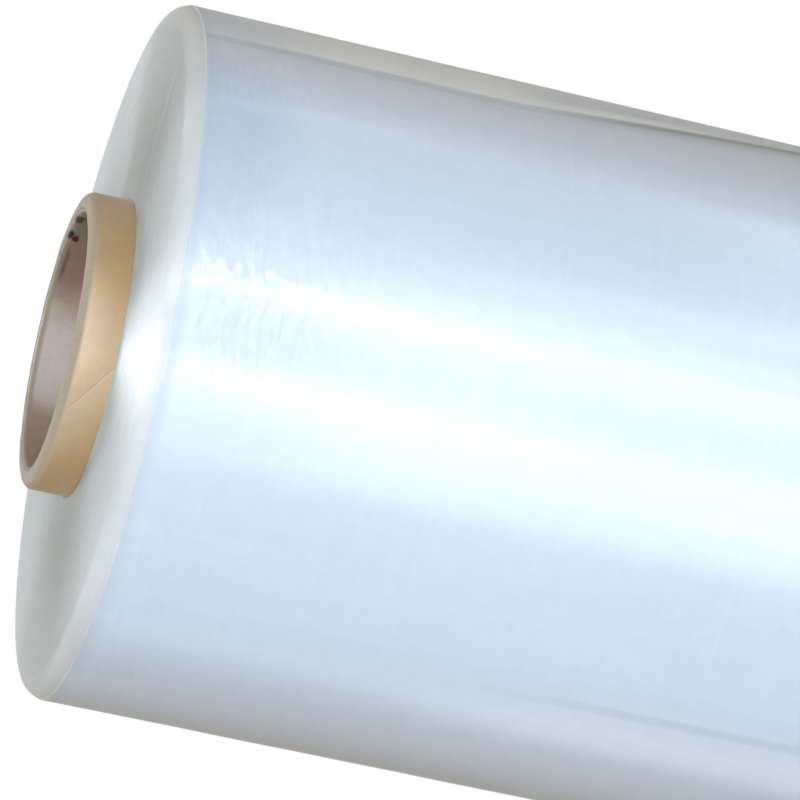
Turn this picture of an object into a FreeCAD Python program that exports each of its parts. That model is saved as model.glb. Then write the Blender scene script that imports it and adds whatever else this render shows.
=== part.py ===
import FreeCAD, Part
import math
import os
import Sketcher

# A roll of stretch wrap: a spiral-wound board tube with the film wound on it, its turns one solid.
# The roll stands on the lower end of its tube, with +Z along the tube and the origin at the
# middle of that end. Each piece is drawn about the middle of its own length.

# Driving dimensions in millimetres, angles in degrees.
SIZES = {
    # The tube that the film is wound on, for a three-inch mandrel, and the wear on its cut ends.
    "core_bore": 76.2,
    "core_wall": 6.4,
    "core_overhang": 13.2,
    "core_outer_wear": 2.9,
    "core_inner_wear": 1.2,
    # The butt joint of the tube's outermost ply, which climbs round it as a helix.
    "seam_rise_per_turn": 193.0,
    "seam_width": 0.9,
    "seam_depth": 0.4,
    "seam_top_angle": -122.0,
    # The wound film, from edge to edge and across.
    "film_width": 500.0,
    "film_diameter": 208.0,
    "film_on_core_gap": 0.05,
    # The rolled-over edge of the winding, and how far round it the outermost wraps reach.
    "lip_radius": 5.4,
    "outer_wraps": 0.25,
    "outer_wraps_curl": 5.0,
    # The line of the turns on each wound end.
    "turn_lines": 6,
    "turn_line_width": 1.3,
    "turn_line_depth": 0.4,
    # How far outside the surface a V-shaped cut starts.
    "cut_start": 0.5,
}

# Radii and heights that follow from the ones above, heights from the middle of the roll.
WORKED_OUT = {
    "bore_radius": "=core_bore / 2",
    "core_radius": "=bore_radius + core_wall",
    "film_half_width": "=film_width / 2",
    "core_half_length": "=film_half_width + core_overhang",
    "inner_wear_radius": "=bore_radius + core_inner_wear",
    "inner_wear_height": "=core_half_length - core_inner_wear",
    "outer_wear_radius": "=core_radius - core_outer_wear",
    "outer_wear_height": "=core_half_length - core_outer_wear",
    "worn_corner": "=core_outer_wear * (1 - sqrt(0.5))",
    "worn_corner_radius": "=core_radius - worn_corner",
    "worn_corner_height": "=core_half_length - worn_corner",
    "seam_reach": "=seam_width / 2 * (1 + cut_start / seam_depth)",
    "seam_bottom_radius": "=core_radius - seam_depth",
    "seam_mouth_radius": "=core_radius + cut_start",
    "seam_start_height": "=core_half_length + seam_reach",
    "seam_upper_height": "=seam_start_height + seam_reach",
    "seam_lower_height": "=seam_start_height - seam_reach",
    "seam_climb": "=2 * seam_start_height",
    "film_bore_radius": "=core_radius + film_on_core_gap",
    "film_radius": "=film_diameter / 2",
    "inner_lip_radius": "=lip_radius - outer_wraps",
    "lip_centre_radius": "=film_radius - lip_radius",
    "lip_centre_height": "=film_half_width - inner_lip_radius",
    "wraps_edge_height": "=lip_centre_height + inner_lip_radius * sin(outer_wraps_curl * 1 deg)",
    "turn_spacing": "=(lip_centre_radius - film_bore_radius) / (turn_lines + 1)",
    "first_turn_radius": "=film_bore_radius + turn_spacing / 2",
    "turn_reach": "=turn_line_width / 2 * (1 + cut_start / turn_line_depth)",
    "turn_bottom_height": "=film_half_width - turn_line_depth",
    "turn_mouth_height": "=film_half_width + cut_start",
    "turn_inner_radius": "=first_turn_radius - turn_reach",
    "turn_outer_radius": "=first_turn_radius + turn_reach",
}

# The point of a sketch that its two axes meet in, and its level axis.
SKETCH_ORIGIN = (-1, 1)
LEVEL_AXIS = -1
START, END, CENTRE = 1, 2, 3

doc = FreeCAD.newDocument("stretch_wrap_roll")


def make_sheet():
    """Write every size into the sheet, one alias to a row."""
    cells = doc.addObject("Spreadsheet::Sheet", "Sizes")
    for row, (name, value) in enumerate({**SIZES, **WORKED_OUT}.items(), 1):
        cells.set("A%d" % row, name)
        cells.set("B%d" % row, str(value))
        cells.setAlias("B%d" % row, name)
    doc.recompute()
    return cells


def size(name):
    """The present value of a size, where a sketch is first drawn."""
    return float(sheet.get(name)) if name else 0.0


def origin_plane(body, role):
    return next(feature for feature in body.Origin.OriginFeatures if feature.Role == role)


def sketch_on(body, role, name):
    sketch = body.newObject("Sketcher::SketchObject", name)
    sketch.AttachmentSupport = (origin_plane(body, role), [""])
    sketch.MapMode = "FlatFace"
    return sketch


def line(sketch, start, finish):
    return sketch.addGeometry(Part.LineSegment(FreeCAD.Vector(*start, 0), FreeCAD.Vector(*finish, 0)))


def arc(sketch, centre, radius, start_angle, end_angle):
    circle = Part.Circle(FreeCAD.Vector(*centre, 0), FreeCAD.Vector(0, 0, 1), radius)
    return sketch.addGeometry(Part.ArcOfCircle(circle, start_angle, end_angle))


def join(sketch, first, first_end, second, second_end):
    sketch.addConstraint(Sketcher.Constraint("Coincident", first, first_end, second, second_end))


def on_level_axis(sketch, geometry, end):
    sketch.addConstraint(Sketcher.Constraint("PointOnObject", geometry, end, LEVEL_AXIS))


def bind(sketch, kind, items, name):
    """Add a driving dimension and tie it to the size of that name."""
    index = sketch.addConstraint(Sketcher.Constraint(kind, *items, size(name)))
    sketch.setExpression("Constraints[%d]" % index, "Sizes." + name)


def place(sketch, geometry, end, radius, height):
    """Tie a point to a radius and a height, both sizes by name. No height means the level axis."""
    bind(sketch, "DistanceX", (*SKETCH_ORIGIN, geometry, end), radius)
    if height:
        bind(sketch, "DistanceY", (*SKETCH_ORIGIN, geometry, end), height)
    else:
        on_level_axis(sketch, geometry, end)


def close(sketch, sides):
    for number, side in enumerate(sides):
        join(sketch, side, END, sides[(number + 1) % len(sides)], START)


def straight_section(body, name, corners):
    """A closed section with straight sides, each corner a radius and a height."""
    sketch = sketch_on(body, "XZ_Plane", name)
    points = [(size(radius), size(height)) for radius, height in corners]
    sides = [line(sketch, point, points[(number + 1) % len(points)]) for number, point in enumerate(points)]
    close(sketch, sides)
    for side, (radius, height) in zip(sides, corners):
        place(sketch, side, START, radius, height)
    doc.recompute()
    return sketch


def revolve(body, section, name):
    turned = body.newObject("PartDesign::Revolution", name)
    turned.Profile = section
    turned.ReferenceAxis = (section, ["V_Axis"])
    turned.Angle = 360
    doc.recompute()
    return turned


def mirror(body, features, name):
    """Repeat the upper half's features below the middle of the piece."""
    copy = body.newObject("PartDesign::Mirrored", name)
    copy.Originals = features
    copy.MirrorPlane = (origin_plane(body, "XY_Plane"), [""])
    body.Tip = copy
    doc.recompute()
    return copy


def must_cut(before, after):
    """A groove that takes nothing away, or a lot of the piece, is a fault."""
    share = 1 - after.Shape.Volume / before.Shape.Volume
    if not 0 < share < 0.05:
        raise ValueError("%s takes away a share of %g" % (after.Name, share))


def make_core():
    """The spiral-wound board tube, with worn cut ends and the open joint of its outermost ply."""
    body = doc.addObject("PartDesign::Body", "cardboard_core")
    wall = straight_section(body, "core_wall_section", [
        ("bore_radius", None),
        ("core_radius", None),
        ("core_radius", "outer_wear_height"),
        ("worn_corner_radius", "worn_corner_height"),
        ("outer_wear_radius", "core_half_length"),
        ("inner_wear_radius", "core_half_length"),
        ("bore_radius", "inner_wear_height"),
    ])
    tube = mirror(body, [revolve(body, wall, "tube_upper_half")], "tube")
    seam = body.newObject("PartDesign::SubtractiveHelix", "ply_seam")
    seam.Profile = straight_section(body, "seam_section", [
        ("seam_bottom_radius", "seam_start_height"),
        ("seam_mouth_radius", "seam_upper_height"),
        ("seam_mouth_radius", "seam_lower_height"),
    ])
    seam.ReferenceAxis = (seam.Profile[0], ["V_Axis"])
    seam.Mode = "pitch-height-angle"
    seam.setExpression("Pitch", "Sizes.seam_rise_per_turn")
    seam.setExpression("Height", "Sizes.seam_climb")
    seam.LeftHanded = True
    seam.Reversed = True
    doc.recompute()
    must_cut(tube, seam)
    body.setExpression("Placement.Rotation.Angle", "Sizes.seam_top_angle")
    body.setExpression("Placement.Base.z", "Sizes.core_half_length")
    return body


def winding_section(body):
    """Half of the winding: its flat wound end, the rolled lip and the outermost wraps."""
    sketch = sketch_on(body, "XZ_Plane", "winding_section")
    inner = size("film_bore_radius")
    outer = size("film_radius")
    face = size("film_half_width")
    inner_lip = size("inner_lip_radius")
    across, up = size("lip_centre_radius"), size("lip_centre_height")
    curl = math.radians(size("outer_wraps_curl"))
    edge = size("wraps_edge_height")

    bore_side = line(sketch, (inner, face), (inner, 0))
    middle = line(sketch, (inner, 0), (outer, 0))
    outside = line(sketch, (outer, 0), (outer, edge))
    wraps_end = line(sketch, (outer, edge), (across + inner_lip * math.cos(curl), edge))
    lip_curl = arc(sketch, (across, up), inner_lip, curl, math.pi / 2)
    wound_end = line(sketch, (across, face), (inner, face))
    close(sketch, [bore_side, middle, outside, wraps_end, lip_curl, wound_end])
    place(sketch, bore_side, START, "film_bore_radius", "film_half_width")
    place(sketch, middle, START, "film_bore_radius", None)
    place(sketch, outside, START, "film_radius", None)
    place(sketch, wraps_end, START, "film_radius", "wraps_edge_height")
    place(sketch, lip_curl, CENTRE, "lip_centre_radius", "lip_centre_height")
    place(sketch, wound_end, START, "lip_centre_radius", "film_half_width")
    bind(sketch, "DistanceY", (*SKETCH_ORIGIN, lip_curl, START), "wraps_edge_height")
    doc.recompute()
    return sketch


def turn_path(body):
    """The line of the turns on a wound end: half circles that grow by half a spacing each time."""
    sketch = sketch_on(body, "XY_Plane", "turn_path")
    sketch.setExpression("AttachmentOffset.Base.z", "Sizes.film_half_width")
    step = size("turn_spacing") / 2
    previous = None
    for number in range(2 * int(size("turn_lines"))):
        side = number % 2
        radius = size("first_turn_radius") + number * step
        half = arc(sketch, (side * step, 0), radius, side * math.pi, (side + 1) * math.pi)
        if previous is None:
            join(sketch, half, CENTRE, *SKETCH_ORIGIN)
            on_level_axis(sketch, half, START)
        else:
            join(sketch, previous, END, half, START)
            on_level_axis(sketch, half, CENTRE)
        on_level_axis(sketch, half, END)
        index = sketch.addConstraint(Sketcher.Constraint("Radius", half, radius))
        grown = "Sizes.first_turn_radius + %d * Sizes.turn_spacing / 2" % number
        sketch.setExpression("Constraints[%d]" % index, grown)
        previous = half
    doc.recompute()
    return sketch


def make_film():
    """All the turns of film as one solid, with the line of the turns let into both wound ends."""
    body = doc.addObject("PartDesign::Body", "wound_film")
    winding = revolve(body, winding_section(body), "winding_upper_half")
    turns = body.newObject("PartDesign::SubtractivePipe", "turn_line")
    turns.Profile = straight_section(body, "turn_line_section", [
        ("first_turn_radius", "turn_bottom_height"),
        ("turn_inner_radius", "turn_mouth_height"),
        ("turn_outer_radius", "turn_mouth_height"),
    ])
    turns.Spine = (turn_path(body), [])
    doc.recompute()
    must_cut(winding, turns)
    mirror(body, [winding, turns], "winding")
    body.setExpression("Placement.Base.z", "Sizes.core_half_length")
    return body


def check_and_write(pieces):
    """Stop on anything that failed, then write one file for each piece."""
    doc.recompute()
    for item in doc.Objects:
        if "Invalid" in item.State or "Error" in item.State:
            raise RuntimeError("%s: %s" % (item.Name, item.State))
    os.makedirs("parts", exist_ok=True)
    for piece in pieces:
        shape = piece.Shape
        if shape.isNull() or not shape.isValid() or len(shape.Solids) != 1:
            raise RuntimeError(piece.Label + " isn't one sound solid")
        shape.exportStep("parts/%s.step" % piece.Label)
        print("%s: %.1f cm3" % (piece.Label, shape.Volume / 1000))


sheet = make_sheet()
check_and_write([make_core(), make_film()])
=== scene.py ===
import math

import bmesh
import bpy
from mathutils import Matrix, Vector, noise


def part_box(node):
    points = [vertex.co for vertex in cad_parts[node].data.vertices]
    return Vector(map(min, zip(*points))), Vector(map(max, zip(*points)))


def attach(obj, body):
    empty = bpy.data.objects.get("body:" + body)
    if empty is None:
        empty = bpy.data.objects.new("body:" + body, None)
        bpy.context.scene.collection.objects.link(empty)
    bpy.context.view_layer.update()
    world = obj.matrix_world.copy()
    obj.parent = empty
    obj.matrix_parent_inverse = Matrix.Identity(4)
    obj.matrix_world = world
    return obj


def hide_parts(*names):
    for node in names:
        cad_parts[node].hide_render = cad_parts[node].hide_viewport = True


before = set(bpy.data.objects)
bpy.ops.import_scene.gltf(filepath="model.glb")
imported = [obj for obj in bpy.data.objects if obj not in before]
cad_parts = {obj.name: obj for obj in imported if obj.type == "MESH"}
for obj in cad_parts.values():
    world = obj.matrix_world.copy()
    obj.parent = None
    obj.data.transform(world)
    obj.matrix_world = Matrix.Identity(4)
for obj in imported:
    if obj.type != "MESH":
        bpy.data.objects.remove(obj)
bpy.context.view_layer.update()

# A roll of stretch wrap standing on its core. Everything is in metres: heights go up the core
# from its lower end, and angles go round it from +X.
MM = 0.001
TURN = 2 * math.pi

core_low, core_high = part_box("cardboard_core")
film_low, film_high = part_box("wound_film")
CORE_TOP = core_high.z
FILM_BOTTOM, FILM_TOP = film_low.z, film_high.z
MIDDLE = (FILM_BOTTOM + FILM_TOP) / 2

# The core: its bore and outside as radii, and how far its cut ends are worn round.
CORE_BORE = 38.1 * MM
CORE_RADIUS = 44.5 * MM
OUTER_WEAR = 2.9 * MM
INNER_WEAR = 1.2 * MM
# The ply seam winds up the core's outside: the rise of one turn, its depth, the ridge beside it, half
# its width, and its angle at the level of the upper wound end.
SEAM_RISE = 193 * MM
SEAM_DEPTH = 0.03 * MM
SEAM_RIDGE = 0.01 * MM
SEAM_HALF_WIDTH = 0.65 * MM
SEAM_ANGLE = math.radians(-95.5)

# Marks in the bore beside its upper end, among them painted shadow and painted light: how far round, how far
# down, half the width and height, colour.
BORE_MARKS_AND_PAINTED_LIGHT = [
    (math.radians(25), 3 * MM, 14 * MM, 10 * MM, (0.19, 0.18, 0.14)),
    (math.radians(54), 6 * MM, 13 * MM, 8 * MM, (0.25, 0.165, 0.125)),
    # Painted shadow in a thin strip just under the bore's upper edge.
    (math.radians(53), 1.2 * MM, 8 * MM, 1.8 * MM, (0.10, 0.08, 0.03)),
    # A painted pool of light on the far wall of the bore.
    (math.radians(102), 4 * MM, 15 * MM, 14 * MM, (0.56, 0.49, 0.44)),
]
INK_FLECKS_AND_PAINTED_SHADOW = [
    # Painted shadow deep in the top of the bore; the two after it are ink flecks.
    (math.radians(20), 1.7 * MM, 3.8 * MM, 2.0 * MM, (0.045, 0.045, 0.04)),
    (math.radians(37), 2.8 * MM, 2.5 * MM, 1.8 * MM, (0.11, 0.006, 0.008)),
    (math.radians(35), 1.2 * MM, 2.8 * MM, 1.5 * MM, (0.012, 0.008, 0.008)),
]

# The film: its bore and outside as radii, and the rounded lip of both wound ends. The outer wraps lie
# over the rest and stop short of the ends.
FILM_BORE = 44.55 * MM
FILM_RADIUS = 104 * MM
LIP_RADIUS = 5.4 * MM
OUTER_WRAPS = 0.25 * MM
WRAPS_SETBACK = 4.7 * MM
LIP_CENTRE = FILM_RADIUS - LIP_RADIUS
# The line of the turns, let into both wound ends, and the angle in which it fades out at its two ends.
TURN_LINES = 6
TURN_SPACING = (LIP_CENTRE - FILM_BORE) / (TURN_LINES + 1)
FIRST_TURN = FILM_BORE + TURN_SPACING / 2
TURN_LINE_HALF_WIDTH = 0.65 * MM
TURN_LINE_DEPTH = 0.13 * MM
TURN_LINE_FADE = 0.12

# The film's outer end runs straight down the roll and then slants: its angle, how far down the slant
# starts, how much it turns for each metre from there, and half the width of its line.
TAIL_ANGLE = math.radians(-25)
TAIL_BEND = 100 * MM
TAIL_SLANT = math.radians(105)
TAIL_HALF_WIDTH = 3.0 * MM
# A crease that starts partway down.
CREASE_ANGLE = math.radians(-132.5)
CREASE_START = 105 * MM
CREASE_HALF_WIDTH = 2.4 * MM
# A patch of painted shade beside the upper end, where the film's edge rounds off early: its angle, half its
# angular width, and how far down it reaches.
SHADE_PATCH_ANGLE = math.radians(-50)
SHADE_PATCH_HALF_ANGLE = math.radians(22)
SHADE_PATCH_REACH = 32 * MM
# Small ridges in the wraps beside both ends: the angle where they are strongest, half the angular
# width of that part, and how far they reach along the roll.
RIDGED_ANGLE = math.radians(-70)
RIDGED_HALF_ANGLE = math.radians(22)
RIDGED_REACH = 75 * MM

# Kinds of unevenness: waves in a metre across the roll and along it, height, and a seed of their own.
BANDS = (3, 42, 0.09 * MM, 1)
FLATS = (24, 3, 0.07 * MM, 2)
DIMPLES = (70, 70, 0.025 * MM, 4)
SLOW_TURNS = (6, 95, 0.10 * MM, 3)
QUICK_TURNS = (14, 420, 0.05 * MM, 9)
WORN_RIM = (60, 60, 0.16 * MM, 5)
WORN_FIBRES = (190, 190, 0.10 * MM, 6)
PLY_WAVES = (25, 25, 0.035 * MM, 7)
PLY_FIBRES = (120, 120, 0.018 * MM, 8)
BORE_WAVES = (30, 12, 0.03 * MM, 10)

# The film's mesh: its columns, the steps of lip, side and bore, and the rounded edge of the outer
# wraps, as shares of their thickness and how far the edge has fallen away there.
FILM_COLUMNS = 256
LIP_STEPS = 12
SIDE_STEPS = 124
FILM_BORE_STEPS = 10
WRAPS_EDGE = [(0.7, 0.0), (0.93, 0.05 * MM), (1.0, 0.2 * MM)]

# The core's mesh: columns at the seam in shares of its half width, plain ones, the rows of the ends
# that show and how far these reach, and the steps between them.
SEAM_COLUMNS = [0.0, 0.35, 0.7, 1.0, 1.35, 2.2]
PLAIN_COLUMNS = 150
INNER_WEAR_STEPS = 4
OUTER_WEAR_STEPS = 7
SHOWN_OUTSIDE = 16 * MM
OUTSIDE_SPACING = 0.9 * MM
OUTSIDE_STEPS = 124
BORE_SPACING = 1.2 * MM
BORE_ROWS = 33
BORE_STEPS = 100

# Points closer than the first are one point, and edges shorter than the second go.
SAME_POINT = 2e-6
NO_LENGTH = 1e-6


def soft(share):
    """An even ease from 0 to 1."""
    share = min(1.0, max(0.0, share))
    return share * share * (3 - 2 * share)


def waver(x, y, z, seed):
    """Smooth unevenness between about -1 and 1, the same on every run."""
    return noise.noise(Vector((x + 31.7 * seed, y - 12.3 * seed, z + 7.9 * seed)))


def uneven(kind, x, y, z, other=0):
    """One kind of unevenness at a point. Another whole number gives the same kind differently placed."""
    across, along, height, seed = kind
    return height * waver(x * across, y * across, z * along, seed + other)


def round_axis(radius, angle, height):
    """The point at a distance from the axis, an angle and a height."""
    return radius * math.cos(angle), radius * math.sin(angle), height


def make_piece(name, points, faces, finish):
    """A mesh object that rides on the roll. Points that coincide are merged."""
    mesh = bpy.data.meshes.new(name)
    shell = bmesh.new()
    corners = [shell.verts.new(point) for point in points]
    for face in faces:
        shell.faces.new([corners[index] for index in face])
    bmesh.ops.remove_doubles(shell, verts=shell.verts, dist=SAME_POINT)
    bmesh.ops.dissolve_degenerate(shell, edges=shell.edges, dist=NO_LENGTH)
    bmesh.ops.recalc_face_normals(shell, faces=shell.faces)
    for face in shell.faces:
        face.smooth = True
    shell.to_mesh(mesh)
    shell.free()
    mesh.materials.append(finish)
    piece = bpy.data.objects.new(name, mesh)
    bpy.context.collection.objects.link(piece)
    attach(piece, "root")
    return piece


def spiral_radius(turn, angle):
    """Distance from the axis to the line of the turns: half circles that grow by half a spacing."""
    if angle <= math.pi:
        return FIRST_TURN + turn * TURN_SPACING
    step = TURN_SPACING / 2
    radius = FIRST_TURN + step + turn * TURN_SPACING
    return step * math.cos(angle) + math.sqrt(radius ** 2 - (step * math.sin(angle)) ** 2)


def end_relief(x, y, radius, end):
    """How uneven the edges of the turns leave a wound end."""
    fade = soft((radius - FILM_BORE) / (4 * MM)) * soft((LIP_CENTRE - radius) / (3 * MM))
    return fade * (uneven(SLOW_TURNS, x, y, radius, end) + uneven(QUICK_TURNS, x, y, radius, end))


def wound_end_grid(points, faces, end):
    """One wound end, with rows that follow the line of the turns outwards."""
    line = TURN_LINE_HALF_WIDTH / TURN_SPACING
    beside = line * 1.35
    # The rows of one turn, in shares of the spacing, are closer together at the line.
    steps = [-0.5, -0.36, -0.22, -beside, -line, -line / 2, 0.0, line / 2, line, beside, 0.22, 0.36]
    rows = [(turn, step) for turn in range(-1, TURN_LINES + 2) for step in steps]
    first = len(points)
    height = end * (FILM_TOP - MIDDLE)
    for turn, step in rows:
        dip = max(0.0, 1 - abs(step) / line)
        dip = dip * dip * (1.6 - 0.6 * dip)
        for column in range(FILM_COLUMNS):
            angle = TURN * column / FILM_COLUMNS
            radius = spiral_radius(turn, angle) + step * TURN_SPACING
            radius = min(LIP_CENTRE, max(FILM_BORE, radius))
            x, y = radius * math.cos(angle), radius * math.sin(angle)
            along = turn * TURN + angle
            drawn = soft(along / TURN_LINE_FADE) * soft((TURN_LINES * TURN - along) / TURN_LINE_FADE)
            lift = end_relief(x, y, radius, end) - drawn * dip * TURN_LINE_DEPTH
            points.append((x, y, MIDDLE + height + end * lift))
    # The last column joins the first one of the next turn.
    for row in range(len(rows) - 1):
        for column in range(FILM_COLUMNS):
            here = first + row * FILM_COLUMNS + column
            if column < FILM_COLUMNS - 1:
                faces.append((here, here + 1, here + 1 + FILM_COLUMNS, here + FILM_COLUMNS))
            elif row + len(steps) + 1 < len(rows):
                after = first + (row + len(steps)) * FILM_COLUMNS
                faces.append((here, after, after + FILM_COLUMNS, here + FILM_COLUMNS))


def film_side_rows():
    """Radius, height from the middle and outward direction of each row from lip to lip."""
    half = FILM_TOP - MIDDLE
    inner_lip = LIP_RADIUS - OUTER_WRAPS
    up = half - inner_lip
    edge = half - WRAPS_SETBACK
    curl = math.asin((edge - up) / inner_lip)
    upper = []
    for step in range(LIP_STEPS + 1):
        bend = math.pi / 2 + (curl - math.pi / 2) * step / LIP_STEPS
        upper.append((LIP_CENTRE + inner_lip * math.cos(bend), up + inner_lip * math.sin(bend), bend))
    under_edge = upper[-1][0]
    for share, fall in WRAPS_EDGE:
        upper.append((under_edge + (FILM_RADIUS - under_edge) * share, edge - fall, 0.0))
    side_top = edge - 1 * MM
    side = [(FILM_RADIUS, side_top * (1 - 2 * step / SIDE_STEPS), 0.0) for step in range(SIDE_STEPS + 1)]
    lower = [(radius, -height, -bend) for radius, height, bend in reversed(upper)]
    return upper + side + lower


def side_relief(x, y, height):
    """The gentle bands, flats and dimples of tightly stretched film."""
    return sum(uneven(kind, x, y, height) for kind in (BANDS, FLATS, DIMPLES)) - 0.05 * MM


def film_shape():
    """The points and faces of the wound film: an end, the side, the bore and the other end."""
    points, faces = [], []
    wound_end_grid(points, faces, 1)
    side_rows = film_side_rows()
    side_first = len(points)
    angles = [TURN * column / FILM_COLUMNS for column in range(FILM_COLUMNS)]
    for radius, height, bend in side_rows:
        fade = soft((math.pi / 2 - abs(bend)) / 0.5)
        for angle in angles:
            lift = fade * side_relief(radius * math.cos(angle), radius * math.sin(angle), height)
            up = MIDDLE + height + lift * math.sin(bend)
            points.append(round_axis(radius + lift * math.cos(bend), angle, up))
    bore_first = len(points)
    for step in range(FILM_BORE_STEPS + 1):
        height = -(FILM_TOP - MIDDLE) + (FILM_TOP - FILM_BOTTOM) * step / FILM_BORE_STEPS
        points.extend(round_axis(FILM_BORE, angle, MIDDLE + height) for angle in angles)
    for start, count in ((side_first, len(side_rows)), (bore_first, FILM_BORE_STEPS + 1)):
        for row in range(count - 1):
            here = start + row * FILM_COLUMNS
            below = here + FILM_COLUMNS
            for column in range(FILM_COLUMNS):
                beside = (column + 1) % FILM_COLUMNS
                faces.append((here + column, here + beside, below + beside, below + column))
    wound_end_grid(points, faces, -1)
    return points, faces


def seam_turn(z):
    """How far round the core its ply seam has come at a height."""
    return SEAM_ANGLE - TURN * (z - FILM_TOP) / SEAM_RISE


def core_columns():
    """Angles from the seam, closer together at the seam itself."""
    beside = [share * SEAM_HALF_WIDTH / CORE_RADIUS for share in SEAM_COLUMNS]
    start = beside[-1]
    plain = [start + (TURN - 2 * start) * step / PLAIN_COLUMNS for step in range(1, PLAIN_COLUMNS)]
    return beside + plain + [TURN - angle for angle in reversed(beside[1:])]


def core_rows():
    """Radius, height and outward direction of each row, from the bore's top down the outside and back up."""
    middle = CORE_TOP / 2
    flat_inner = CORE_BORE + INNER_WEAR
    flat_outer = CORE_RADIUS - OUTER_WEAR
    top = []
    for step in range(INNER_WEAR_STEPS + 1):
        bend = math.pi - math.pi / 2 * step / INNER_WEAR_STEPS
        height = middle - INNER_WEAR * (1 - math.sin(bend))
        top.append((flat_inner + INNER_WEAR * math.cos(bend), height, bend))
    for share in (0.2, 0.4, 0.6, 0.8):
        top.append((flat_inner + (flat_outer - flat_inner) * share, middle, math.pi / 2))
    for step in range(OUTER_WEAR_STEPS + 1):
        bend = math.pi / 2 * (1 - step / OUTER_WEAR_STEPS)
        height = middle - OUTER_WEAR * (1 - math.sin(bend))
        top.append((flat_outer + OUTER_WEAR * math.cos(bend), height, bend))
    bottom = [(radius, -height, -bend) for radius, height, bend in reversed(top)]

    outside = []
    height = middle - OUTER_WEAR
    while height > middle - SHOWN_OUTSIDE:
        height -= OUTSIDE_SPACING
        outside.append(height)
    under_film = [outside[-1] * (1 - 2 * step / OUTSIDE_STEPS) for step in range(1, OUTSIDE_STEPS)]
    outside = outside + under_film + [-height for height in reversed(outside)]

    inside = [middle - INNER_WEAR - BORE_SPACING * step for step in range(1, BORE_ROWS + 1)]
    deep = [inside[-1] * (1 - 2 * step / BORE_STEPS) for step in range(1, BORE_STEPS)]
    inside = inside + deep + [-height for height in reversed(inside)]

    down = [(CORE_RADIUS, height, 0.0) for height in outside]
    up = [(CORE_BORE, -height, math.pi) for height in inside]
    return top + down + bottom + up


def core_relief(x, y, z, bend, from_seam):
    """Wear on the cut ends, a slight waviness of the wrapped plies, and the V of the ply seam."""
    if abs(bend) > math.pi - 0.01:
        return uneven(BORE_WAVES, x, y, z) - 0.02 * MM
    rim = soft(math.sin(abs(bend)) * 1.4)
    worn = uneven(WORN_RIM, x, y, z) + uneven(WORN_FIBRES, x, y, z) - 0.2 * MM
    plain = uneven(PLY_WAVES, x, y, z) + uneven(PLY_FIBRES, x, y, z) - 0.05 * MM
    lift = min(0.0, rim * worn + (1 - rim) * plain)
    if abs(bend) < math.pi / 2:
        beside = abs(from_seam) * CORE_RADIUS / SEAM_HALF_WIDTH
        groove = SEAM_DEPTH * max(0.0, 1 - beside)
        ridge = SEAM_RIDGE * math.exp(-((beside - 1.5) / 0.5) ** 2)
        lift += (ridge - groove) * math.cos(bend)
    return lift


def core_shape():
    """The points and faces of the tube, whose columns follow the seam up."""
    points, faces = [], []
    columns = core_columns()
    rows = core_rows()
    count = len(columns)
    middle = CORE_TOP / 2
    for radius, height, bend in rows:
        turned = seam_turn(middle + height)
        for around in columns:
            angle = turned + around
            from_seam = around if around < math.pi else around - TURN
            x, y, z = round_axis(radius, angle, middle + height)
            lift = core_relief(x, y, z, bend, from_seam)
            points.append(round_axis(radius + lift * math.cos(bend), angle, z + lift * math.sin(bend)))
    for row in range(len(rows)):
        here = row * count
        below = (row + 1) % len(rows) * count
        for column in range(count):
            beside = (column + 1) % count
            faces.append((here + column, here + beside, below + beside, below + column))
    return points, faces


# The sockets of a Mix node that mixes colours: its share, both colours, and what it gives out.
MIX_SHARE, MIX_FIRST, MIX_SECOND = 0, 6, 7
MIX_RESULT = 2


class Value:
    """What a node gives out. Arithmetic on it adds Math nodes."""

    def __init__(self, finish, socket):
        self.finish = finish
        self.socket = socket

    def maths(self, operation, *terms):
        return self.finish.node("ShaderNodeMath", {"operation": operation}, dict(enumerate(terms)))

    def __add__(self, other):
        return self.maths("ADD", self, other)

    __radd__ = __add__

    def __sub__(self, other):
        return self.maths("SUBTRACT", self, other)

    def __rsub__(self, other):
        return self.maths("SUBTRACT", other, self)

    def __mul__(self, other):
        return self.maths("MULTIPLY", self, other)

    __rmul__ = __mul__

    def __truediv__(self, other):
        return self.maths("DIVIDE", self, other)

    def __pow__(self, other):
        return self.maths("POWER", self, other)

    def __abs__(self):
        return self.maths("ABSOLUTE", self)

    def part_of_whole(self):
        """What it has above the whole number below it."""
        return self.maths("FRACT", self)

    def or_more(self, other):
        """The larger of the two."""
        return self.maths("MAXIMUM", self, other)

    def beside(self, name):
        """Another output of the same node."""
        return Value(self.finish, self.socket.node.outputs[name])


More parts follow.
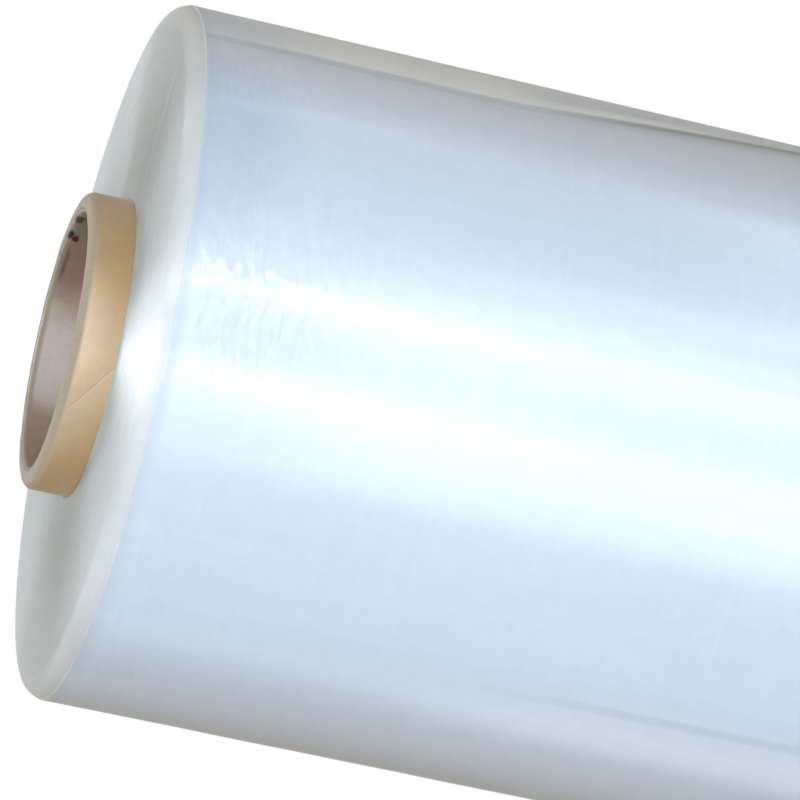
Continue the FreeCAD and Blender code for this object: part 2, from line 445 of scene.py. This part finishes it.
class Finish:
    """The nodes of a material or the world, which give its colour and surface."""

    def __init__(self, owner):
        self.owner = owner
        owner.use_nodes = True
        self.tree = owner.node_tree
        self.tree.nodes.clear()

    def node(self, kind, settings=None, sockets=None, out=0):
        """Add a node: its settings first, then the value or link of each socket."""
        made = self.tree.nodes.new(kind)
        for name, value in (settings or {}).items():
            setattr(made, name, value)
        for name, value in (sockets or {}).items():
            if isinstance(value, Value):
                self.tree.links.new(value.socket, made.inputs[name])
            elif isinstance(value, tuple) and made.inputs[name].type == "RGBA":
                made.inputs[name].default_value = (*value, 1.0)
            else:
                made.inputs[name].default_value = value
        return Value(self, made.outputs[out])

    def show(self, shader, kind="ShaderNodeOutputMaterial"):
        """Make a shader what is seen, and return its material or world."""
        out = self.tree.nodes.new(kind)
        self.tree.links.new(shader.socket, out.inputs["Surface"])
        return self.owner

    def position(self):
        """Where a point of the roll is, in metres, as its three parts."""
        place = self.node("ShaderNodeTexCoord", out="Object")
        x = self.node("ShaderNodeSeparateXYZ", sockets={0: place})
        return x, x.beside("Y"), x.beside("Z")

    def vector(self, x, y, z):
        return self.node("ShaderNodeCombineXYZ", sockets={0: x, 1: y, 2: z})

    def cloud(self, x, y, z, detail=3.0, roughness=0.55):
        """Noise from 0 to 1."""
        return self.node("ShaderNodeTexNoise", {"noise_dimensions": "3D"}, {
            "Vector": self.vector(x, y, z), "Scale": 1.0, "Detail": detail, "Roughness": roughness})

    def between(self, value, one, other, start=0.0, finish=1.0):
        """An even ease from start to finish as the value goes from one number to the other."""
        return self.node("ShaderNodeMapRange", {"interpolation_type": "SMOOTHSTEP"}, {
            "Value": value, "From Min": one, "From Max": other, "To Min": start, "To Max": finish})

    def mix(self, share, first, second):
        """From the first colour to the second."""
        return self.node("ShaderNodeMix", {"data_type": "RGBA"}, {
            MIX_SHARE: share, MIX_FIRST: first, MIX_SECOND: second}, out=MIX_RESULT)

    def tint(self, colour, amount):
        """A colour made lighter or darker by a number about 1."""
        grey = self.vector(amount, amount, amount)
        return self.node("ShaderNodeMix", {"data_type": "RGBA", "blend_type": "MULTIPLY"}, {
            MIX_SHARE: 1.0, MIX_FIRST: colour, MIX_SECOND: grey}, out=MIX_RESULT)

    def bump(self, height, depth):
        """Relief of a depth in metres."""
        return self.node("ShaderNodeBump", sockets={"Height": height, "Distance": depth, "Strength": 1.0})

    def surface(self, **sockets):
        """The material with one principled surface."""
        named = {name.replace("_", " "): value for name, value in sockets.items()}
        return self.show(self.node("ShaderNodeBsdfPrincipled", sockets=named))


def root_of_squares(x, y):
    return (x * x + y * y) ** 0.5


def angle_round(x, y):
    """The angle of a point round the axis."""
    return x.maths("ARCTAN2", y, x)


def from_spot(angle, z, turned, down, width, height):
    """How far a point of the bore is from the middle of a mark, which reaches 1 at the mark's edge."""
    across = (angle - turned) * (CORE_BORE / width)
    along = (z - (CORE_TOP - down)) * (1 / height)
    return root_of_squares(across, along)


def outer_end_marks(film, angle, down):
    """The film's outer end: its line, the paler strip past it, and the painted shade on the line and before
    it.
    """
    past_bend = (down - TAIL_BEND).or_more(0.0)
    past = (angle - TAIL_ANGLE - past_bend * TAIL_SLANT) * FILM_RADIUS
    line = film.between(past * past, TAIL_HALF_WIDTH ** 2, 0.0)
    # The strip starts beside the wound end, narrows near the bend, and ends further down.
    broad = film.between(past, 30 * MM, 22 * MM) * film.between(down, 125 * MM, 90 * MM)
    narrow = film.between(past, 10 * MM, 5 * MM) * film.between(down, 90 * MM, 125 * MM)
    strip = film.between(past, 1 * MM, 3 * MM) * (broad + narrow)
    strip = strip * film.between(down, 10 * MM, 55 * MM) * film.between(down, 180 * MM, 140 * MM)
    # Painted shade of the outer end's step, before the line and on it, darker where the end slants.
    shade = film.between(past, -10 * MM, -1 * MM) * film.between(past, 2 * MM, 0.0)
    slanted = film.between(down, TAIL_BEND, TAIL_BEND + 50 * MM)
    dark = (shade + line) * (0.14 + 0.34 * slanted)
    return line, strip, dark


def crease_marks(film, angle, down):
    """The crease: its line and the paler strip beside it."""
    past = (angle - CREASE_ANGLE) * FILM_RADIUS
    started = film.between(down, CREASE_START, CREASE_START + 60 * MM)
    line = film.between(past * past, CREASE_HALF_WIDTH ** 2, 0.0) * started
    strip = film.between(past, 0.0, -4 * MM) * film.between(past, -26 * MM, -12 * MM) * started
    return line, strip


def stretch_film_finish():
    """Glossy film, pale blue where the turns lie flat, grey-green on the ends, and whitish towards and on
    the lip, where the whitening is painted highlight; shade at the film's outer end, in its crease and
    beside the wraps' edge is painted too.
    """
    film = Finish(bpy.data.materials.new("stretch_film"))
    x, y, z = film.position()
    radius = root_of_squares(x, y)
    angle = angle_round(x, y)
    down = FILM_TOP - z
    from_end = (FILM_TOP - MIDDLE) - abs(z - MIDDLE)
    along = z + radius

    drift = film.cloud(x * 9.0, y * 9.0, z * 5.0, 2.0)
    mottle = film.cloud(x * 210.0, y * 210.0, along * 160.0, 4.0, 0.6)
    rings = film.cloud(x * 5.0, y * 5.0, along * 620.0, 3.0, 0.6)
    streaks = film.cloud(x * 150.0, y * 150.0, z * 5.0)
    ridges = film.cloud(x * 150.0, y * 150.0, along * 380.0, 1.0, 0.4)
    dimples = film.cloud(x * 60.0, y * 60.0, along * 60.0, 2.0, 0.5)
    grain = film.cloud(x * 500.0, y * 500.0, along * 500.0, 2.0, 0.5)

    # The outer wraps stop short of the wound end, along a slightly ragged edge.
    from_edge = from_end - WRAPS_SETBACK + (mottle - 0.5) * 1.6 * MM
    on_wraps = film.between(from_edge, 0.0, 6 * MM)
    on_end = film.between(from_edge, 0.3 * MM, -0.3 * MM)
    end_tone = film.between(from_edge, 1.0 * MM, -0.6 * MM)
    beside_edge = film.between(from_edge, 5 * MM, 1 * MM) * (1 - on_end)
    outer_lip = on_end * film.between(radius, LIP_CENTRE, LIP_CENTRE + 3 * MM)
    near_end = film.between(from_end, RIDGED_REACH, 18 * MM) * on_wraps

    tail, tail_strip, tail_painted_shade = outer_end_marks(film, angle, down)
    crease, crease_strip = crease_marks(film, angle, down)
    round_shade_patch = (angle - SHADE_PATCH_ANGLE) * (1 / SHADE_PATCH_HALF_ANGLE)
    down_shade_patch = down * (1 / SHADE_PATCH_REACH)
    painted_shade_patch = film.between(round_shade_patch * round_shade_patch + down_shade_patch * down_shade_patch, 1.5, 0.1)
    round_ridged = (angle - RIDGED_ANGLE) * (1 / RIDGED_HALF_ANGLE)
    ridged = 0.2 + 0.8 * film.between(round_ridged * round_ridged, 1.3, 0.3)

    wrapped = film.mix(drift, (0.60, 0.71, 0.83), (0.68, 0.77, 0.88))
    # Painted shade: a greyer, darker band beside the wraps' edge, where the edge curls.
    wrapped = film.mix(beside_edge * 0.5, wrapped, (0.54, 0.655, 0.735))
    # Painted shade where the film's edge rounds off early beside the upper end.
    wrapped = film.mix(painted_shade_patch * 0.7, wrapped, (0.50, 0.62, 0.76))
    wrapped = film.mix(crease_strip * 0.22, wrapped, (0.74, 0.755, 0.79))
    wrapped = film.mix(tail_strip * 0.85, wrapped, (0.86, 0.93, 0.96))
    # Painted shade along the film's outer end and before it, and in the crease.
    wrapped = film.mix(tail_painted_shade + crease * streaks * 0.4, wrapped, (0.34, 0.41, 0.43))
    # The ends are grey-green; their paling towards the lip and the paler lip are painted highlight.
    outwards = film.between(radius, FILM_BORE, FILM_RADIUS)
    ends = film.mix(outwards, (0.41, 0.445, 0.425), (0.59, 0.635, 0.645))
    on_lip = film.between(radius, LIP_CENTRE - 2 * MM, LIP_CENTRE + 1 * MM)
    ends = film.mix(on_lip, ends, (0.64, 0.685, 0.70))
    colour = film.mix(end_tone, wrapped, ends)
    colour = film.tint(colour, 0.90 + 0.10 * mottle + 0.05 * rings + 0.05 * streaks)

    height = ridges * (0.2 + 3.0 * near_end * ridged) * on_wraps
    height = height + dimples * 0.35 + grain * 0.04 + rings * 0.06
    height = height - tail * 0.5 - crease * 0.3
    roughness = 0.34 + 0.10 * mottle - 0.07 * near_end
    roughness = roughness + 0.20 * on_end - 0.16 * outer_lip + 0.14 * beside_edge
    return film.surface(
        Base_Color=colour,
        Roughness=roughness,
        IOR=1.5,
        Anisotropic=1.0,
        Anisotropic_Rotation=0.25,
        Coat_Weight=(0.5 - 0.36 * near_end - 0.4 * beside_edge) * (1 - on_end),
        Coat_Roughness=0.17,
        Coat_IOR=1.5,
        Normal=film.bump(height, 0.22 * MM))


def core_board_finish():
    """Brown tube board: grey-brown in the bore, paler on the worn cut ends, with the ply seam and fibres."""
    board = Finish(bpy.data.materials.new("core_board"))
    x, y, z = board.position()
    radius = root_of_squares(x, y)
    angle = angle_round(x, y)
    from_end = CORE_TOP / 2 - abs(z - MIDDLE)

    in_bore = board.between(radius, CORE_BORE + 0.9 * MM, CORE_BORE + 0.3 * MM)
    worn = board.between(from_end, 3.4 * MM, 1.6 * MM) * (1 - in_bore)
    inner_edge = board.between(radius, CORE_BORE + 1.8 * MM, CORE_BORE + 0.8 * MM)
    inner_edge = inner_edge * board.between(from_end, 2.6 * MM, 1.2 * MM)

    # How far a point is past the seam, as a share of a turn.
    laps = (angle - SEAM_ANGLE) / TURN + (z - FILM_TOP) / SEAM_RISE
    share = (laps + 10.0).part_of_whole()
    past_seam = board.between(share, 0.0, 0.10, 1.0, 0.0)
    before_seam = board.between(share, 0.90, 1.0)
    at_seam = board.between(share, 0.004, 0.0) + board.between(share, 0.996, 1.0)

    ragged = board.cloud(x * 160.0, y * 160.0, z * 160.0, 4.0, 0.6)
    fibres = board.cloud(x * 420.0, y * 420.0, z * 420.0, 4.0, 0.65)
    blotches = board.cloud(x * 70.0, y * 70.0, z * 70.0, 3.0, 0.6)
    stains = board.cloud(x * 26.0 + 2.7, y * 26.0, z * 26.0, 3.0, 0.6)
    ply_tone = board.cloud(x * 60.0, y * 60.0 + 4.1, z * 35.0, 2.0, 0.5)
    plies = board.cloud(x * 12.0, y * 12.0, radius * 1500.0, 2.0, 0.5)

    outside = board.mix(blotches, (0.355, 0.198, 0.05), (0.425, 0.26, 0.086))
    outside = board.mix(before_seam * 0.55, outside, (0.50, 0.38, 0.21))
    outside = board.mix(past_seam * 0.55, outside, (0.44, 0.28, 0.14))
    outside = board.mix(at_seam * 0.1, outside, (0.24, 0.15, 0.08))
    rim = board.mix(plies, (0.32, 0.26, 0.165), (0.45, 0.375, 0.26))
    bore = board.mix(board.between(stains, 0.35, 0.68), (0.30, 0.24, 0.19), (0.50, 0.42, 0.36))
    bore = board.mix(board.between(ply_tone, 0.40, 0.62) * 0.35, bore, (0.38, 0.27, 0.21))
    # Darker marks, painted shadow under the upper edge and a painted pool of light on the far wall.
    for turned, down, width, height, bore_patch_tone in BORE_MARKS_AND_PAINTED_LIGHT:
        away = from_spot(angle, z, turned, down, width, height) + (blotches - 0.5) * 0.8
        bore = board.mix(board.between(away, 1.3, 0.4), bore, bore_patch_tone)
    bore = board.mix(at_seam * 0.5, bore, (0.16, 0.12, 0.09))
    colour = board.mix(worn * board.between(ragged, 0.12, 0.35), outside, rim)
    colour = board.mix(in_bore, colour, bore)
    colour = board.mix(inner_edge * 0.8, colour, (0.27, 0.23, 0.155))
    colour = board.tint(colour, 0.86 + 0.28 * fibres)
    # Ink flecks, and painted shadow deep in the top of the bore.
    for turned, down, width, height, ink_and_shadow_tone in INK_FLECKS_AND_PAINTED_SHADOW:
        away = from_spot(angle, z, turned, down, width, height) + (ragged - 0.5) * 2.2
        colour = board.mix(board.between(away, 1.0, 0.6) * in_bore, colour, ink_and_shadow_tone)

    return board.surface(
        Base_Color=colour,
        Roughness=0.42 + 0.16 * fibres + 0.30 * worn + 0.25 * inner_edge,
        IOR=1.3,
        Coat_Weight=0.95 * (1 - worn) * (1 - in_bore),
        Coat_Roughness=0.5,
        Coat_IOR=2.15,
        Normal=board.bump(fibres * 0.5 + blotches * 0.6 + plies * 0.5 * worn, 0.10 * MM))


def floor_finish():
    """Plain pale floor that fades into the white background for the camera and for reflections."""
    floor = Finish(bpy.data.materials.new("pale_floor"))
    x, y = floor.position()[:2]
    camera_ray = floor.node("ShaderNodeLightPath", out="Is Camera Ray")
    seen = floor.between(camera_ray + camera_ray.beside("Is Glossy Ray"), 0.0, 1.0)
    share = seen * floor.between(root_of_squares(x, y), 0.30, 0.72)
    plain = floor.node("ShaderNodeBsdfDiffuse", sockets={"Color": (0.86, 0.86, 0.86)})
    white = floor.node("ShaderNodeEmission", sockets={"Color": (1.0, 1.0, 1.0), "Strength": 1.0})
    return floor.show(floor.node("ShaderNodeMixShader", sockets={0: share, 1: plain, 2: white}))


film_points, film_faces = film_shape()
film = make_piece("stretch_film_winding", film_points, film_faces, stretch_film_finish())
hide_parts("wound_film")

core_points, core_faces = core_shape()
core = make_piece("tube_board_core", core_points, core_faces, core_board_finish())
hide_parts("cardboard_core")


def make_floor():
    """A round floor under the roll."""
    shell = bmesh.new()
    bmesh.ops.create_circle(shell, cap_ends=True, segments=96, radius=0.8)
    mesh = bpy.data.meshes.new("floor")
    shell.to_mesh(mesh)
    shell.free()
    mesh.materials.append(floor_finish())
    floor = bpy.data.objects.new("floor", mesh)
    bpy.context.collection.objects.link(floor)


def panel_place(angle, distance, height, aim_height):
    """Where a panel stands, turned to the roll's axis. Angles go from the camera's side towards +X."""
    turned = math.radians(angle)
    place = Vector((distance * math.sin(turned), -distance * math.cos(turned), height))
    out = (place - Vector((0, 0, aim_height))).normalized()
    side = Vector((0, 0, 1)).cross(out).normalized()
    return Matrix.Translation(place) @ Matrix((side, out.cross(side), out)).transposed().to_4x4()


def soft_lamp(name, place, width, length, brightness, colour, lights_gloss=False):
    """A glowing panel. One kind lights the colours, and the other is only seen in the gloss."""
    lamp = bpy.data.lights.new(name, "AREA")
    lamp.shape = "RECTANGLE"
    lamp.size, lamp.size_y = width, length
    lamp.energy = brightness * math.pi * width * length
    lamp.color = colour
    panel = bpy.data.objects.new(name, lamp)
    panel.matrix_world = place
    panel.visible_camera = False
    panel.visible_glossy = lights_gloss
    panel.visible_diffuse = not lights_gloss
    bpy.context.collection.objects.link(panel)


def card_finish(name, tone):
    card = Finish(bpy.data.materials.new(name))
    return card.show(card.node("ShaderNodeEmission", sockets={"Color": tone, "Strength": 1.0}))


def grey_card(name, place, width, length, finish):
    """A studio card that is only seen in the gloss, where it makes a darker edge."""
    shell = bmesh.new()
    bmesh.ops.create_grid(shell, x_segments=1, y_segments=1, size=0.5)
    mesh = bpy.data.meshes.new(name)
    shell.to_mesh(mesh)
    shell.free()
    mesh.materials.append(finish)
    card = bpy.data.objects.new(name, mesh)
    card.matrix_world = place @ Matrix.Diagonal((width, length, 1, 1))
    card.visible_camera = False
    card.visible_diffuse = False
    card.visible_transmission = False
    card.visible_shadow = False
    bpy.context.collection.objects.link(card)


def make_world():
    """A dim warm room that looks white to the camera, in reflections and through clear things."""
    studio = Finish(bpy.data.worlds.new("studio"))
    camera_ray = studio.node("ShaderNodeLightPath", out="Is Camera Ray")
    seen = camera_ray.or_more(camera_ray.beside("Is Glossy Ray"))
    seen = seen.or_more(camera_ray.beside("Is Transmission Ray"))
    room = studio.node("ShaderNodeBackground", sockets={"Color": (1.0, 0.91, 0.78), "Strength": 0.24})
    white = studio.node("ShaderNodeBackground", sockets={"Color": (1.0, 1.0, 1.0), "Strength": 1.0})
    both = studio.node("ShaderNodeMixShader", sockets={0: seen, 1: room, 2: white})
    bpy.context.scene.world = studio.show(both, "ShaderNodeOutputWorld")


make_floor()
make_world()

KEY = (0.94, 1.0, 1.08)
COOL = (0.88, 0.97, 1.08)
PALE = (0.96, 0.985, 1.04)
WARM = (1.0, 0.82, 0.62)
# These light the colours.
soft_lamp("key_panel", panel_place(-3, 2.0, 1.35, 0.45), 0.8, 0.8, 18.6, KEY)
soft_lamp("back_left_panel", panel_place(-132, 2.0, 1.0, 0.35), 0.8, 0.8, 4.6, WARM)
soft_lamp("back_right_panel", panel_place(128, 2.0, 1.0, 0.35), 0.8, 0.8, 6.0, WARM)
# These are only seen in the gloss of the film's side: broad ones, and the strips of its highlights.
soft_lamp("broad_gloss", panel_place(7, 1.75, -0.12, -0.12), 2.3, 1.0, 5.0, PALE, True)
soft_lamp("high_gloss", panel_place(0, 2.0, 1.55, 0.5), 2.4, 0.5, 7.0, COOL, True)
soft_lamp("roof_gloss", panel_place(0, 1.2, 2.3, 0.5), 3.2, 0.7, 8.0, COOL, True)
soft_lamp("left_high_gloss", panel_place(-80, 1.5, 1.9, 0.5), 1.4, 0.8, 6.5, COOL, True)
soft_lamp("right_high_gloss", panel_place(80, 1.5, 1.9, 0.5), 1.4, 0.8, 3.0, COOL, True)
soft_lamp("low_right_gloss", panel_place(70, 1.7, -0.55, -0.55), 1.6, 0.9, 5.4, COOL, True)
soft_lamp("middle_gloss", panel_place(-2, 1.7, 0.36, 0.36), 0.34, 0.44, 7.0, PALE, True)
soft_lamp("middle_strip", panel_place(-2, 1.68, 0.46, 0.46), 0.09, 0.34, 33.0, PALE, True)
soft_lamp("right_strip", panel_place(28, 1.6, 0.32, 0.32), 0.06, 0.28, 75.0, PALE, True)
soft_lamp("left_strip", panel_place(-12, 1.6, -0.15, -0.15), 0.03, 0.50, 19.0, PALE, True)
soft_lamp("side_strip", panel_place(94, 1.6, 0.45, 0.45), 0.14, 0.60, 3.5, COOL, True)
# These are only seen in the gloss of the upper wound end, its lip and the limbs of the side.
soft_lamp("overhead_gloss", panel_place(180, 0.6, 2.2, 0.5), 0.18, 1.0, 130.0, COOL, True)
soft_lamp("behind_gloss", panel_place(-177.5, 1.5, 1.45, 0.5), 0.95, 0.5, 12.5, COOL, True)
soft_lamp("corner_gloss", panel_place(135, 1.1, 1.6, 0.5), 0.10, 0.10, 45.0, COOL, True)
soft_lamp("right_fill_gloss", panel_place(44, 1.7, -0.2, -0.2), 0.5, 0.6, 3.5, COOL, True)
soft_lamp("upper_right_strip", panel_place(30, 1.6, 2.0, 0.5), 0.20, 0.5, 80.0, COOL, True)
soft_lamp("left_fill_gloss", panel_place(-99, 1.5, -0.2, -0.2), 0.4, 0.6, 2.0, COOL, True)

tan = card_finish("tan_card", (0.28, 0.22, 0.15))
dark = card_finish("dark_card", (0.16, 0.14, 0.12))
grey = card_finish("grey_card", (0.34, 0.32, 0.29))
pale = card_finish("pale_card", (0.43, 0.42, 0.39))
grey_card("left_card", panel_place(-130, 1.6, 0.6, 0.6), 2.0, 2.4, tan)
grey_card("near_right_card", panel_place(75, 1.6, 0.85, 0.85), 1.5, 1.3, dark)
grey_card("right_card", panel_place(131, 1.65, 0.6, 0.6), 1.4, 2.4, grey)
grey_card("back_card", panel_place(180, 1.75, 0.9, 0.9), 2.6, 2.6, pale)

lens = bpy.data.cameras.new("camera")
lens.sensor_width = 36
lens.lens = 225
lens.clip_end = 50
camera = bpy.data.objects.new("camera", lens)
# The picture's right and upward directions, and the camera's backward one.
right = Vector((0.21267954, -0.19335746, -0.95779972))
upward = Vector((0.97711807, 0.03930507, 0.2090344))
backward = Vector((-0.00277198, -0.98034076, 0.19729246))
camera_turn = Matrix((right, upward, backward)).transposed().to_4x4()
camera.matrix_world = Matrix.Translation((0.0, -1.45327, 0.71410)) @ camera_turn
bpy.context.collection.objects.link(camera)
bpy.context.scene.camera = camera
bpy.context.scene.view_settings.view_transform = "Standard"
